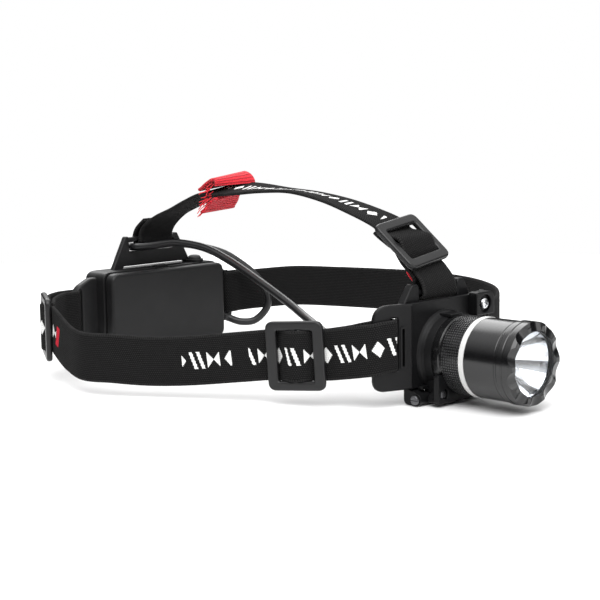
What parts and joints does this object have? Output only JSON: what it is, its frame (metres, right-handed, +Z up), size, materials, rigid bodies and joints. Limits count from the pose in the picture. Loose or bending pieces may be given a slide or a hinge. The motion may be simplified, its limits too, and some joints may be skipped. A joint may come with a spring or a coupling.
{
  "type": "headlamp",
  "caption": "Torch-style LED headlamp on an elastic head band with a top strap, a tilting lamp, adjusting buckles and a battery box at the rear.",
  "frame": {"origin": "centre of the head opening at mid-band height", "axes": "+Z up, the lamp's beam along -Y, the wearer's left along +X"},
  "size_m": [0.219, 0.2804, 0.1016],
  "materials": {
    "plastic_black": "matte",
    "plastic_box": "matte",
    "anodised": "satin",
    "bare_aluminium": "satin",
    "glow_white": "matte",
    "mirror": "polished",
    "steel": "satin",
    "glass": "polished",
    "rubber": "matte",
    "foam": "matte",
    "pcb": "gloss",
    "phosphor": "gloss",
    "cell_wrap": "gloss",
    "brass": "satin",
    "wire_red": "satin",
    "webbing": "woven",
    "thread_red": "woven",
    "lead_black": "satin"
  },
  "bodies": {
    "headset": {"base_plate": "plastic_black", "forehead_pad": "foam", "hinge_screw_left": "steel", "hinge_screw_right": "steel", "detent_spring": "steel", "lamp_gland": "rubber", "box_shell": "plastic_box", "cover_pin_left": "steel", "cover_pin_right": "steel", "latch_spring": "steel", "cell_upper": "cell_wrap", "cell_lower": "cell_wrap", "contact_spring_upper": "steel", "contact_spring_lower": "steel", "contact_plate_left": "brass", "contact_plate_right": "brass", "charge_board": "pcb", "switch_body": "plastic_box", "box_gland": "rubber", "band_near": "webbing", "band_near_tail": "webbing", "band_rear_left": "webbing", "band_far": "webbing", "top_strap_front": "webbing", "top_strap_tail": "webbing", "top_strap_rear": "webbing", "strap_tag": "thread_red", "front_tack": "thread_red", "buckle_near": "plastic_black", "buckle_rear": "plastic_black", "buckle_top": "plastic_black", "lead": "lead_black"},
    "lamp": {"tilt_plate": "plastic_black", "lug_screw": "steel", "leaf_screw": "steel", "rear_barrel": "anodised", "knurled_ring": "anodised", "glow_ring": "glow_white", "led_board": "glow_white", "led_emitter": "phosphor", "heat_sink": "bare_aluminium", "driver_board": "pcb", "lamp_wires": "wire_red"},
    "focus_head": {"head_barrel": "anodised", "bezel": "anodised", "lens": "glass", "lens_seal": "rubber", "reflector": "mirror", "head_oring": "rubber"},
    "cover": {"box_cover": "plastic_box"},
    "latch": {"cover_latch": "plastic_box"},
    "button": {"switch_button": "rubber"}
  },
  "joints": [
    {"name": "lamp_tilt", "type": "hinge", "parent": "headset", "child": "lamp", "pos_m": [0, -0.102, -0.0252], "axis": [1, 0, 0], "range_deg": [0, 70]},
    {"name": "head_focus", "type": "slide", "parent": "lamp", "child": "focus_head", "axis": [0, -1, 0], "range_m": [0, 0.0035]},
    {"name": "cover_hinge", "type": "hinge", "parent": "headset", "child": "cover", "pos_m": [0, 0.1048, -0.0257], "axis": [1, 0, 0], "range_deg": [0, 105]},
    {"name": "cover_latch_slide", "type": "slide", "parent": "headset", "child": "latch", "axis": [0, 1, 0], "range_m": [0, 0.0022], "stiffness_N_per_m": 300, "springref_m": -0.001, "deforming": ["latch_spring"]},
    {"name": "switch_press", "type": "slide", "parent": "headset", "child": "button", "axis": [0, 0, -1], "range_m": [0, 0.0012], "stiffness_N_per_m": 600, "springref_m": -0.0005}
  ]
}
